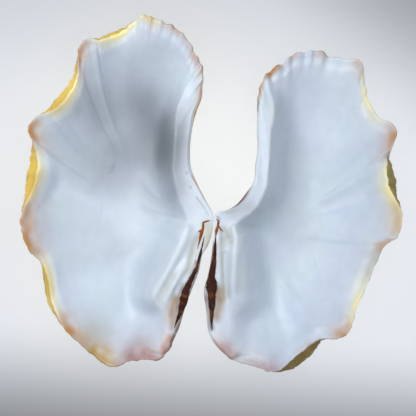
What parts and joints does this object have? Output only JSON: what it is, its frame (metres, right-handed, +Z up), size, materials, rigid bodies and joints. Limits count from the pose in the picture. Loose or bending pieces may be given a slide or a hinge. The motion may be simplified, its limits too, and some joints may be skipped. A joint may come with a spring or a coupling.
{
  "type": "giant clam shell",
  "caption": "Giant clam shell with its ribbed, scalloped valves laid open side by side, hollow side up, meeting at the hinge.",
  "frame": {"origin": "middle of the bounding box, on the surface the shell rests on", "axes": "+X from the left valve to the right valve, +Y along the hinge towards the byssal gap, +Z up, out of the hollows"},
  "size_m": [0.2468, 0.2306, 0.0562],
  "materials": {
    "shell": "porcelain-smooth white hollow, with a matt yellow and tan outside and lobe tips",
    "ligament": "dried, cracked, matt dark brown"
  },
  "bodies": {
    "root": {"left_valve": "shell", "right_valve": "shell", "left_ligament": "ligament", "right_ligament": "ligament"}
  },
  "joints": []
}
